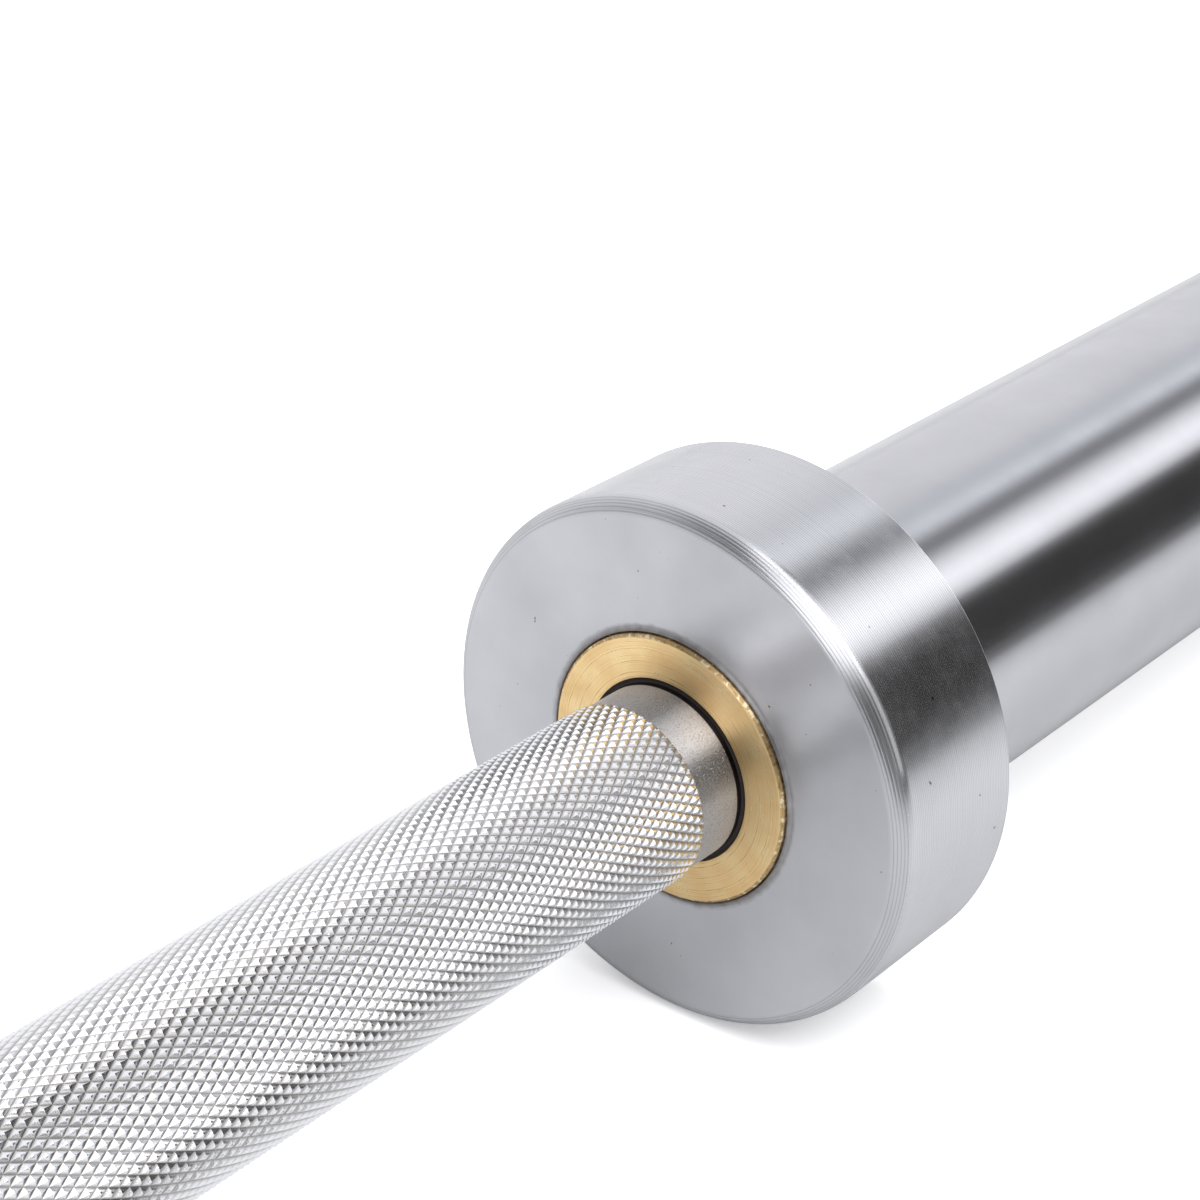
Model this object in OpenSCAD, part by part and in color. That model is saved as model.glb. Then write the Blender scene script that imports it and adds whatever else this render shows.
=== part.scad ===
// Olympic barbell with a 25 mm shaft and 50 mm rotating sleeves.
// The bar lies along X, with its origin at the middle of the shaft's axis.
// Each end is drawn once, as the right end, and mirrored for the left end.

/* [Bar] */
// Length of the whole bar, end to end
bar_length = 2010; // [1900:1:2300]
// Distance between the inner faces of the two collars
grip_length = 1310; // [1210:1:1320]

/* [Shaft] */
// Diameter of the smooth middle of the shaft
shaft_d = 25; // [24.5:0.1:25.5]
// Height of the knurl crests above the smooth shaft
knurl_rise = 0.2; // [0.1:0.05:0.3]
// Bevel at each end of a knurled band
knurl_bevel = 1.2; // [0.5:0.1:2]
// Distance from a collar's face to the first knurl, the bare neck of the shaft
neck_length = 7.5; // [4:0.5:15]
// Depth of the necks and the ring marks below the smooth shaft
neck_drop = 0.25; // [0.1:0.05:0.3]
// Distance from a collar's face to the near edge of the ring mark
mark_at = 195; // [150:5:220]
// Width of the ring mark between the knurled bands
mark_width = 5; // [3:0.5:8]
// Distance from a collar's face to the far end of the knurling
knurl_reach = 420; // [400:5:520]
// Depth of the bearing journals below the smooth shaft
journal_drop = 0.5; // [0.4:0.05:0.8]
// Bevel at the ends of the shaft
shaft_bevel = 1.5; // [0.5:0.1:2.5]
// Diameter of the lathe centre in each end of the shaft
centre_d = 6; // [4:0.5:8]

/* [Collar] */
// Diameter of the collar
collar_d = 75; // [68:1:90]
// Width of the collar, from its inner face to the face that stops the plates
collar_width = 24; // [20:1:32]
// Thickness of the collar's front wall, ahead of the sleeve tube
collar_front = 6; // [5.5:0.5:8]
// Bevel round the collar's inner face
collar_bevel = 1.5; // [0.8:0.1:2.5]
// Bevel round the collar's outer face
collar_back_bevel = 0.4; // [0.2:0.1:1]
// Depth of the step on the sleeve tube that the collar is pressed over
spigot_step = 0.5; // [0.3:0.1:1]
// Bevel round the mouth of the collar's socket
socket_bevel = 0.6; // [0.6:0.1:1]

/* [Sleeve] */
// Diameter of the sleeve that the plates slide on
sleeve_d = 50; // [49:0.1:50.4]
// Bore of the sleeve tube
sleeve_bore = 32; // [31.8:0.1:33]
// Bore of the outer bearing housing in the end of the tube
housing_d = 38; // [37:0.5:39]
// Bore of the seat for the end cap
cap_seat_d = 42; // [41:0.5:43]
// Bevel round the free end of the sleeve
sleeve_bevel = 1.5; // [0.5:0.1:2]

/* [Bushes] */
// Diameter of the inner bush's flange
flange_d = 38; // [36:0.5:40]
// Thickness of the inner bush's flange
flange_t = 4; // [3.8:0.1:5]
// Length of the inner bush, over its flange
inner_bush_length = 40; // [30:1:60]
// Bevel round the flange's face
flange_bevel = 0.4; // [0.2:0.1:0.8]
// Gap round the flange in the collar's face
flange_gap = 0.15; // [0.05:0.05:0.3]
// Diameter of the recess in the bush's mouth
mouth_d = 26; // [25.8:0.1:26.6]
// Depth of the recess in the bush's mouth
mouth_depth = 3.5; // [3:0.1:3.7]
// Depth of the dust seal below the bush's face
seal_depth = 0.1; // [0.1:0.1:1.2]
// Length of the outer bush
outer_bush_length = 30; // [20:1:40]
// Radial clearance of the journals in their bushes
running_gap = 0.05; // [0.02:0.01:0.08]

/* [Retaining parts] */
// Travel of a sleeve along the shaft, each way from the middle
end_float = 0.4; // [0.2:0.1:0.6]
// Gap between a thrust washer and what it lies against
washer_gap = 0.1; // [0.05:0.01:0.2]
// Thickness of a thrust washer
washer_t = 2; // [1.5:0.1:3]
// Outer diameter of a thrust washer
washer_d = 31; // [29:0.5:31.4]
// Thickness of a shaft circlip
clip_t = 1.5; // [1.2:0.1:2]
// Depth of a shaft circlip's groove
clip_groove = 1; // [0.6:0.1:1.2]
// Radial width of a shaft circlip
clip_width = 3; // [2.6:0.1:3.2]
// Radius of a shaft circlip's ears
clip_ear_r = 1.6; // [1.3:0.1:1.8]
// Shaft left beyond the last circlip
clip_land = 5; // [3:0.5:8]
// Thickness of the spring ring behind the outer bush
spring_ring_t = 1.8; // [1.2:0.1:2.4]
// Radial width of that spring ring
spring_ring_width = 3; // [2.4:0.1:3.2]
// Depth of the spring ring's groove in the tube
spring_ring_groove = 1; // [0.6:0.1:1.4]

/* [End cap] */
// Thickness of the end cap
cap_t = 7; // [5:0.5:10]
// Room between the end of the shaft and the cap
cap_room = 4; // [2:0.5:8]
// Thickness of the circlip that holds the cap
cap_clip_t = 1.75; // [1.5:0.05:2.5]
// Radial width of that circlip
cap_clip_width = 3.6; // [3:0.1:4]
// Radius of its ears
cap_ear_r = 2; // [1.6:0.1:2.2]
// Depth of its groove in the tube
cap_clip_groove = 1; // [0.6:0.1:1.2]
// Tube left beyond the cap's circlip
end_lip = 3; // [2.5:0.1:5]
// Depth of the dish turned into the cap
cap_dish = 1.5; // [0.5:0.1:2.5]
// Flat rim left on the cap inside its circlip
cap_dish_rim = 1; // [0.5:0.1:3]

/* [Hidden] */
$fn = 96;

// Radii of the shaft.
shaft_r = shaft_d / 2;
knurl_r = shaft_r + knurl_rise;
neck_r = shaft_r - neck_drop;
journal_r = shaft_r - journal_drop;
clip_seat_r = journal_r - clip_groove;
bush_bore_r = journal_r + running_gap;

// Distances along the bar from the collar's inner face, outwards.
sleeve_end = (bar_length - grip_length) / 2;
cap_clip_to = sleeve_end - end_lip;
cap_clip_from = cap_clip_to - cap_clip_t;
cap_from = cap_clip_from - cap_t;
shaft_end = cap_from - cap_room;
outer_clip_to = shaft_end - clip_land;
outer_clip_from = outer_clip_to - clip_t;
outer_washer_to = outer_clip_from - washer_gap - end_float;
outer_washer_from = outer_washer_to - washer_t;
outer_bush_to = outer_washer_from - washer_gap;
outer_bush_from = outer_bush_to - outer_bush_length;
inner_washer_to = outer_bush_from - washer_gap - end_float;
inner_washer_from = inner_washer_to - washer_t;
inner_clip_to = inner_washer_from - washer_gap;
inner_clip_from = inner_clip_to - clip_t;
neck_to = mouth_depth - end_float - washer_gap;
flange_seat_r = flange_d / 2 + flange_gap;
spigot_r = sleeve_d / 2 - spigot_step;
// A cutter runs this far past the face that it cuts through.
over = 1;

// Degrees left open by each split ring, and how far its ears are turned from the top.
shaft_clip_gap = 30;
shaft_clip_turn = 18;
cap_clip_gap = 26;
cap_clip_turn = 14;
spring_ring_gap = 24;

// A cylinder along X, between two distances and with a radius at each.
module rod(from, to, r_from, r_to) {
  translate([from, 0, 0])
    rotate([0, 90, 0])
      cylinder(h = to - from, r1 = r_from, r2 = r_to);
}

// A plain cylinder along X.
module plain_rod(from, to, r) {
  rod(from, to, r, r);
}

// A cylinder along X with a bevel at each end.
module bevelled_rod(from, to, r, from_bevel, to_bevel) {
  rod(from, from + from_bevel, r - from_bevel, r);
  plain_rod(from + from_bevel, to - to_bevel, r);
  rod(to - to_bevel, to, r, r - to_bevel);
}

// A round hole right through what lies between two distances.
module bore(from, to, r) {
  plain_rod(from - over, to + over, r);
}

// One end of the bar: side is 1 for the right end and -1 for the left.
module at_end(side) {
  mirror([side < 0 ? 1 : 0, 0, 0])
    translate([grip_length / 2, 0, 0])
      children();
}

// A knurled band as high as its crests, bevelled down to the radius beside each end.
module knurl_band(from, to, from_r, to_r) {
  rod(from, from + knurl_bevel, from_r, knurl_r);
  plain_rod(from + knurl_bevel, to - knurl_bevel, knurl_r);
  rod(to - knurl_bevel, to, knurl_r, to_r);
}

// Half of the shaft, from its middle to the right end.
module half_shaft() {
  face = grip_length / 2;
  mark_inner = face - mark_at - mark_width;
  difference() {
    union() {
      plain_rod(0, face - knurl_reach, shaft_r);
      knurl_band(face - knurl_reach, mark_inner, shaft_r, neck_r);
      plain_rod(mark_inner, face - mark_at, neck_r);
      knurl_band(face - mark_at, face - neck_length, neck_r, neck_r);
      plain_rod(face - neck_length, face + neck_to, neck_r);
      plain_rod(face + neck_to, face + shaft_end - shaft_bevel, journal_r);
      rod(face + shaft_end - shaft_bevel, face + shaft_end, journal_r, journal_r - shaft_bevel);
    }
    for (groove = [inner_clip_from, outer_clip_from])
      difference() {
        plain_rod(face + groove, face + groove + clip_t, journal_r + over);
        bore(face + groove, face + groove + clip_t, clip_seat_r);
      }
    rod(face + shaft_end - centre_d / 2, face + shaft_end, 0, centre_d / 2);
  }
}

module shaft() {
  color("silver") {
    half_shaft();
    mirror([1, 0, 0]) half_shaft();
  }
}

// The collar. Its front wall is recessed for the bush's flange, and its socket is pressed
// over the spigot of the tube. The socket's mouth is bevelled clear of the plates' seat.
module collar() {
  color("lightgray")
    difference() {
      bevelled_rod(0, collar_width, collar_d / 2, collar_bevel, collar_back_bevel);
      plain_rod(-over, flange_t, flange_seat_r);
      bore(0, collar_front, sleeve_bore / 2);
      plain_rod(collar_front, collar_width + over, spigot_r);
      rod(collar_width - socket_bevel, collar_width + over, spigot_r, spigot_r + socket_bevel + over);
    }
}

module sleeve_tube() {
  color("gainsboro")
    difference() {
      union() {
        plain_rod(collar_front, collar_width, spigot_r);
        plain_rod(collar_width, sleeve_end - sleeve_bevel, sleeve_d / 2);
        rod(sleeve_end - sleeve_bevel, sleeve_end, sleeve_d / 2, sleeve_d / 2 - sleeve_bevel);
      }
      bore(collar_front, sleeve_end, sleeve_bore / 2);
      plain_rod(outer_bush_from, sleeve_end + over, housing_d / 2);
      plain_rod(cap_from, sleeve_end + over, cap_seat_d / 2);
      plain_rod(outer_bush_to, outer_bush_to + spring_ring_t, housing_d / 2 + spring_ring_groove);
      plain_rod(cap_clip_from, cap_clip_to, cap_seat_d / 2 + cap_clip_groove);
    }
}

// The flanged bush in the collar's face. Its mouth is recessed for the dust seal.
module inner_bush() {
  color("goldenrod")
    difference() {
      union() {
        rod(0, flange_bevel, flange_d / 2 - flange_bevel, flange_d / 2);
        plain_rod(flange_bevel, flange_t, flange_d / 2);
        plain_rod(flange_t, inner_bush_length, sleeve_bore / 2);
      }
      bore(0, inner_bush_length, bush_bore_r);
      plain_rod(-over, mouth_depth, mouth_d / 2);
    }
}

module dust_seal() {
  color("black")
    difference() {
      plain_rod(seal_depth, mouth_depth, mouth_d / 2);
      bore(seal_depth, mouth_depth, neck_r + running_gap);
    }
}

module outer_bush() {
  color("goldenrod")
    difference() {
      plain_rod(outer_bush_from, outer_bush_to, housing_d / 2);
      bore(outer_bush_from, outer_bush_to, bush_bore_r);
    }
}

// A flat ring with a gap at its top, open over gap_angle degrees.
module split_ring(from, t, r_out, r_in, gap_angle) {
  difference() {
    plain_rod(from, from + t, r_out);
    bore(from, from + t, r_in);
    rotate([0, 90, 0])
      translate([0, 0, from - over])
        linear_extrude(t + 2 * over)
          polygon([
            [0, 0],
            2 * r_out * [-cos(gap_angle / 2), sin(gap_angle / 2)],
            2 * r_out * [-cos(gap_angle / 2), -sin(gap_angle / 2)]
          ]);
  }
}

// Round plates at the two ears of a circlip, each turned ear_turn degrees from the top.
module at_ears(from, to, ear_at, r, ear_turn) {
  for (turn = [-ear_turn, ear_turn])
    rotate([turn, 0, 0])
      translate([0, 0, ear_at])
        plain_rod(from, to, r);
}

// A split ring with a pair of drilled ears, ear_at from its axis.
module circlip(from, t, r_out, r_in, gap_angle, ear_at, ear_r, hole_r, ear_turn) {
  color("dimgray")
    difference() {
      union() {
        split_ring(from, t, r_out, r_in, gap_angle);
        at_ears(from, from + t, ear_at, ear_r, ear_turn);
      }
      at_ears(from - over, from + t + over, ear_at, hole_r, ear_turn);
    }
}

module spring_ring() {
  ring_r = housing_d / 2 + spring_ring_groove;
  color("dimgray")
    split_ring(outer_bush_to, spring_ring_t, ring_r, ring_r - spring_ring_width, spring_ring_gap);
}

module thrust_washer(from) {
  color("slategray")
    difference() {
      plain_rod(from, from + washer_t, washer_d / 2);
      bore(from, from + washer_t, bush_bore_r);
    }
}

// A circlip in a groove of the shaft. Its ears are cut back to clear the groove's floor.
module shaft_circlip(from) {
  ring_r = clip_seat_r + clip_width;
  difference() {
    circlip(from, clip_t, ring_r, clip_seat_r, shaft_clip_gap,
      ring_r - clip_ear_r / 2, clip_ear_r, clip_ear_r / 2, shaft_clip_turn);
    bore(from, from + clip_t, clip_seat_r);
  }
}

module end_cap() {
  dish_r = cap_seat_d / 2 - cap_clip_width - cap_dish_rim;
  color("silver")
    difference() {
      plain_rod(cap_from, cap_clip_from, cap_seat_d / 2);
      rod(cap_clip_from - cap_dish, cap_clip_from + over, dish_r - cap_dish, dish_r + over);
    }
}

// The circlip over the end cap, with its ears inside the ring.
module cap_circlip() {
  ring_r = cap_seat_d / 2 + cap_clip_groove;
  circlip(cap_clip_from, cap_clip_t, ring_r, ring_r - cap_clip_width, cap_clip_gap,
    ring_r - cap_clip_width, cap_ear_r, cap_ear_r / 2, cap_clip_turn);
}

shaft();
at_end(1) collar();  // right_collar
at_end(-1) collar();  // left_collar
at_end(1) sleeve_tube();  // right_sleeve_tube
at_end(-1) sleeve_tube();  // left_sleeve_tube
at_end(1) inner_bush();  // right_inner_bush
at_end(-1) inner_bush();  // left_inner_bush
at_end(1) dust_seal();  // right_dust_seal
at_end(-1) dust_seal();  // left_dust_seal
at_end(1) outer_bush();  // right_outer_bush
at_end(-1) outer_bush();  // left_outer_bush
at_end(1) spring_ring();  // right_bush_spring_ring
at_end(-1) spring_ring();  // left_bush_spring_ring
at_end(1) thrust_washer(inner_washer_from);  // right_inner_thrust_washer
at_end(-1) thrust_washer(inner_washer_from);  // left_inner_thrust_washer
at_end(1) thrust_washer(outer_washer_from);  // right_outer_thrust_washer
at_end(-1) thrust_washer(outer_washer_from);  // left_outer_thrust_washer
at_end(1) shaft_circlip(inner_clip_from);  // right_inner_shaft_circlip
at_end(-1) shaft_circlip(inner_clip_from);  // left_inner_shaft_circlip
at_end(1) shaft_circlip(outer_clip_from);  // right_outer_shaft_circlip
at_end(-1) shaft_circlip(outer_clip_from);  // left_outer_shaft_circlip
at_end(1) end_cap();  // right_end_cap
at_end(-1) end_cap();  // left_end_cap
at_end(1) cap_circlip();  // right_cap_circlip
at_end(-1) cap_circlip();  // left_cap_circlip
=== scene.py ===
import math

import bpy
import numpy as np
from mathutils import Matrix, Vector


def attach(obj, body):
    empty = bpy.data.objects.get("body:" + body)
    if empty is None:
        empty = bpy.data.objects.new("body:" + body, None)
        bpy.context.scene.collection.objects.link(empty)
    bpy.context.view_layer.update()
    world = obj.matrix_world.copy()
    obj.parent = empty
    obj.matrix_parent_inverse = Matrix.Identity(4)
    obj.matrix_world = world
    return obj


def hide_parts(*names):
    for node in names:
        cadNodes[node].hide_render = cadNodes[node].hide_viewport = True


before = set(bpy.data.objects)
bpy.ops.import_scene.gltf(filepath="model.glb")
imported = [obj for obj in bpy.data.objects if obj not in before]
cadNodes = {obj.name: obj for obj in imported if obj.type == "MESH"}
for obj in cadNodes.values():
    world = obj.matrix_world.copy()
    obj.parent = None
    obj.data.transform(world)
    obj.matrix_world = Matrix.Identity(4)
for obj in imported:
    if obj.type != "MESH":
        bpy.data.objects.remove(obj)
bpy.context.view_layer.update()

scene = bpy.context.scene
print("frame loaded:", len(cadNodes), "nodes")

# The camera, as it stood for the photograph.
camera = {
    "place": (0.422514, -0.186184, 0.175821),  # metres, in the bar's own frame
    "turn": 0.704,  # radians from +X towards +Y
    "dip": 0.469,  # radians below level
    "lens": 79.371,  # mm, on a sensor 36 mm wide
}
lensBlock = bpy.data.cameras.new("camera")
lensBlock.lens = camera["lens"]
lensBlock.sensor_width = 36.0
lensBlock.clip_start = 0.01
lensBlock.clip_end = 50.0
eye = bpy.data.objects.new("camera", lensBlock)
eye.location = camera["place"]
eye.rotation_mode = "QUATERNION"
eye.rotation_quaternion = Vector((
    math.cos(camera["turn"]) * math.cos(camera["dip"]),
    math.sin(camera["turn"]) * math.cos(camera["dip"]),
    -math.sin(camera["dip"]),
)).to_track_quat("-Z", "Y")
scene.collection.objects.link(eye)
scene.camera = eye


# A node tree under construction. A value is a number, a colour or another node's socket.
class Tree:
    def __init__(self, tree):
        self.tree = tree

    def node(self, kind, **settings):
        made = self.tree.nodes.new(kind)
        for key, value in settings.items():
            setattr(made, key, value)
        return made

    def link(self, fromSocket, toSocket):
        self.tree.links.new(fromSocket, toSocket)

    def put(self, value, socket):
        if isinstance(value, (int, float)):
            socket.default_value = value
        elif isinstance(value, tuple):
            socket.default_value = (*value, 1.0) if len(value) == 3 else value
        else:
            self.link(value, socket)

    def math(self, operation, first, second=0.0):
        made = self.node("ShaderNodeMath", operation=operation)
        self.put(first, made.inputs[0])
        self.put(second, made.inputs[1])
        return made.outputs[0]

    # A value from one range carried to another, held at its ends.
    def spread(self, value, low, high, newLow=0.0, newHigh=1.0):
        made = self.node("ShaderNodeMapRange", clamp=True)
        self.put(value, made.inputs["Value"])
        made.inputs["From Min"].default_value = low
        made.inputs["From Max"].default_value = high
        made.inputs["To Min"].default_value = newLow
        made.inputs["To Max"].default_value = newHigh
        return made.outputs["Result"]

    def blend(self, share, first, second, mode="MIX"):
        made = self.node("ShaderNodeMix", data_type="RGBA", blend_type=mode)
        self.put(share, made.inputs["Factor"])
        self.put(first, made.inputs["A"])
        self.put(second, made.inputs["B"])
        return made.outputs["Result"]


# A material's node tree. Lengths in it are metres, on Object coordinates.
class Finish(Tree):
    def __init__(self, name, color, metallic, roughness):
        self.material = bpy.data.materials.new(name)
        self.material.use_nodes = True
        self.material.diffuse_color = (*color, 1.0)
        super().__init__(self.material.node_tree)
        self.shader = self.tree.nodes["Principled BSDF"]
        self.shader.inputs["Base Color"].default_value = (*color, 1.0)
        self.shader.inputs["Metallic"].default_value = metallic
        self.shader.inputs["Roughness"].default_value = roughness
        self.coords = self.node("ShaderNodeTexCoord").outputs["Object"]
        apart = self.node("ShaderNodeSeparateXYZ")
        self.link(self.coords, apart.inputs[0])
        self.along = apart.outputs["X"]
        ySquare = self.math("MULTIPLY", apart.outputs["Y"], apart.outputs["Y"])
        zSquare = self.math("MULTIPLY", apart.outputs["Z"], apart.outputs["Z"])
        self.radius = self.math("SQRT", self.math("ADD", ySquare, zSquare))

    # Noise in space: scale is in cycles a metre, so 2000 is two a millimetre. Its values lie
    # round 0.5, nearly all between 0.2 and 0.8, and spread picks out a part of them.
    def noise(self, scale, detail=2, rough=0.5):
        made = self.node("ShaderNodeTexNoise")
        self.link(self.coords, made.inputs["Vector"])
        made.inputs["Scale"].default_value = scale
        made.inputs["Detail"].default_value = detail
        made.inputs["Roughness"].default_value = rough
        return made.outputs["Fac"]

    # Noise on one length, such as the distance along the axis: it gives turned lines.
    def lines(self, length, scale, detail=2):
        made = self.node("ShaderNodeTexNoise", noise_dimensions="1D")
        self.put(self.math("MULTIPLY", length, scale), made.inputs["W"])
        made.inputs["Scale"].default_value = 1.0
        made.inputs["Detail"].default_value = detail
        return made.outputs["Fac"]

    # A bump of the given height in metres, laid over the one before it.
    def bump(self, height, depth, under=None):
        made = self.node("ShaderNodeBump")
        made.inputs["Strength"].default_value = 1.0
        made.inputs["Distance"].default_value = depth
        self.link(height, made.inputs["Height"])
        if under is not None:
            self.link(under, made.inputs["Normal"])
        return made.outputs["Normal"]

    def set(self, socket, value):
        self.link(value, self.shader.inputs[socket])

    # Gloss drawn out across lathe marks that run round the X axis, so bands stay sharp round it.
    def turned(self, amount):
        around = self.node("ShaderNodeTangent", direction_type="RADIAL", axis="X")
        self.link(around.outputs[0], self.shader.inputs["Tangent"])
        self.shader.inputs["Anisotropic"].default_value = amount
        self.shader.inputs["Anisotropic Rotation"].default_value = 0.25


# Every piece's sizes are millimetres. Lengths along the bar count outwards from the collar's
# front face, which lies this far from the middle of the bar.
collarFace = 655.0

collar = {
    "radius": 37.5, "width": 24.0, "bevel": 1.5, "backBevel": 0.4,
    "inward": 0.9, "outward": 1.1,  # how far the bevel's two corners are rounded
    "seat": 19.15, "seatDepth": 4.0,  # the hole round the bush's flange
    "lip": 1.2,  # how far that hole's edge is rounded
    "plain": 5.0,  # from the hole out to where the finer outer part of the profile starts
    "bore": 16.0,
    "socket": 24.5, "socketFrom": 6.0, "socketBevel": 0.6,  # the back takes the sleeve's spigot
    "grooves": 5, "groovePitch": 0.45, "grooveFrom": -0.25, "grooveDepth": 0.03,
}


# Satin chrome of a collar: fine grain, lathe lines round the axis, clouded tone, a few pits,
# a brown staining round the hole in the front face, and painted shade in the bevel's turned
# grooves. Those lie at q = (|x| + radius - bevelFrom) / sqrt 2, as in the collar's profile.
def satinChrome():
    look = {
        "clean": (0.69, 0.695, 0.715),
        "dull": (0.60, 0.61, 0.635),
        "rim": (0.80, 0.80, 0.82),
        "line": (0.44, 0.44, 0.455),
        # This brown colours both the staining round the hole and the painted shade in the bevel's
        # grooves.
        "stainAndShade": (0.20, 0.17, 0.145),
        "pit": (0.22, 0.18, 0.15),
        "gloss": 0.9,  # how far it is drawn out across the lathe marks
        "faceRoughness": (0.28, 0.34), "rimRoughness": (0.15, 0.18), "smudge": 0.08,
        "rimFrom": 0.0372, "rimTo": 0.03748,  # radii over which the face's finish becomes the rim's
        "grainShare": 0.35, "rimShare": 0.8,  # how strongly each tone shows where it is full
        "lineShare": 0.42, "unevenShare": 0.1,
        "linePitch": 0.00038, "lineHeight": 0.000004, "grainHeight": 0.0000025,
        "cloudScale": 60, "grainScale": 5200, "pitScale": 900, "smudgeScale": 230,
        "stainFrom": 0.0195, "stainTo": 0.0208,  # radii over which the stain fades out
        "stainWander": 0.0008, "stainScale": 700,  # how far those radii wander round the hole
        "stainDepth": 0.657, "stainDepthTo": 0.658,  # and along the bar, behind the face
        # The last entry, below, is how strongly painted shade darkens the bevel's turned grooves.
        "stainRoughness": 0.3, "bevelGrooveShade": 0.38,
    }
    bevelFrom = (collarFace + collar["radius"] - collar["bevel"]) / 1000
    groovePitch = collar["groovePitch"] / 1000
    grooveFrom = collar["grooveFrom"] / 1000
    grooves = collar["grooves"]
    f = Finish("satin_chrome", look["clean"], metallic=1.0, roughness=0.28)
    f.turned(look["gloss"])
    cloud = f.noise(look["cloudScale"], detail=4)
    grain = f.noise(look["grainScale"], detail=3, rough=0.6)
    rim = f.spread(f.radius, look["rimFrom"], look["rimTo"])
    lines = f.lines(f.along, 1 / look["linePitch"], detail=1)
    rings = f.lines(f.radius, 1 / look["linePitch"], detail=1)
    tone = f.blend(f.spread(cloud, 0.35, 0.7), look["clean"], look["dull"])
    tone = f.blend(f.spread(grain, 0.4, 0.7, 0.0, look["grainShare"]), tone, look["dull"])
    tone = f.blend(f.math("MULTIPLY", rim, look["rimShare"]), tone, look["rim"])
    feed = f.math("SINE", f.math("MULTIPLY", f.along, 2 * math.pi / look["linePitch"]))
    even = f.spread(feed, -1.0, 1.0, 0.0, look["lineShare"])
    uneven = f.spread(lines, 0.5, 0.8, 0.0, look["unevenShare"])
    cut = f.math("ADD", even, uneven)
    tone = f.blend(f.math("MULTIPLY", cut, rim), tone, look["line"])
    pits = f.spread(f.noise(look["pitScale"], detail=1), 0.80, 0.82)
    tone = f.blend(pits, tone, look["pit"])
    wander = f.math("MULTIPLY", f.noise(look["stainScale"], detail=3), look["stainWander"])
    near = f.spread(f.math("ADD", f.radius, wander), look["stainFrom"], look["stainTo"], 0.9, 0.0)
    away = f.math("ABSOLUTE", f.along)
    front = f.spread(away, look["stainDepth"], look["stainDepthTo"], 1.0, 0.0)
    stained = f.math("MULTIPLY", near, front)
    tone = f.blend(stained, tone, look["stainAndShade"])
    # Painted shade: the bevel's turned grooves are darkened in the brown, counted as in the
    # collar's profile.
    q = f.math("SUBTRACT", f.math("ADD", away, f.radius), bevelFrom)
    q = f.math("DIVIDE", q, math.sqrt(2))
    turns = f.math("DIVIDE", f.math("SUBTRACT", q, grooveFrom), groovePitch)
    wave = f.math("ABSOLUTE", f.math("SINE", f.math("MULTIPLY", turns, math.pi)))
    wave = f.math("POWER", wave, 10.0)
    ends = f.math("MULTIPLY", f.spread(turns, 0.0, 0.1), f.spread(turns, grooves, grooves - 0.1))
    bevelGrooveShade = f.math("MULTIPLY", f.math("MULTIPLY", wave, ends), look["bevelGrooveShade"])
    f.set("Base Color", f.blend(bevelGrooveShade, tone, look["stainAndShade"]))
    patch = f.math("ADD", cloud, f.math("MULTIPLY", grain, 0.5))
    onFace = f.spread(patch, 0.5, 1.0, *look["faceRoughness"])
    smudge = f.noise(look["smudgeScale"], detail=5, rough=0.65)
    smudge = f.spread(smudge, 0.4, 0.75, 0.0, look["smudge"])
    onRim = f.math("ADD", f.spread(patch, 0.6, 0.9, *look["rimRoughness"]), smudge)
    onFace = f.math("ADD", onFace, f.math("MULTIPLY", stained, look["stainRoughness"]))
    onFace = f.math("MULTIPLY", onFace, f.math("SUBTRACT", 1.0, rim))
    f.set("Roughness", f.math("ADD", f.math("MULTIPLY", onRim, rim), onFace))
    turned = f.bump(f.math("ADD", lines, rings), look["lineHeight"])
    f.set("Normal", f.bump(grain, look["grainHeight"], turned))
    return f.material


# Bright chrome of a sleeve: smooth, with faint long clouds and hairline rings.
def brightChrome():
    look = {
        "clean": (0.645, 0.645, 0.67),
        "dull": (0.60, 0.60, 0.625),
        "roughness": (0.13, 0.18), "gloss": 0.8,
        "cloudScale": 90, "grainScale": 2500, "lineScale": 3000,
        "grainHeight": 0.0000015, "lineHeight": 0.0000012,
    }
    f = Finish("bright_chrome", look["clean"], metallic=1.0, roughness=0.16)
    f.turned(look["gloss"])
    cloud = f.noise(look["cloudScale"], detail=5, rough=0.6)
    grain = f.noise(look["grainScale"], detail=2)
    f.set("Base Color", f.blend(f.spread(cloud, 0.3, 0.75), look["clean"], look["dull"]))
    f.set("Roughness", f.spread(cloud, 0.3, 0.7, *look["roughness"]))
    lines = f.bump(f.lines(f.along, look["lineScale"], detail=2), look["lineHeight"])
    f.set("Normal", f.bump(grain, look["grainHeight"], lines))
    return f.material


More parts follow.
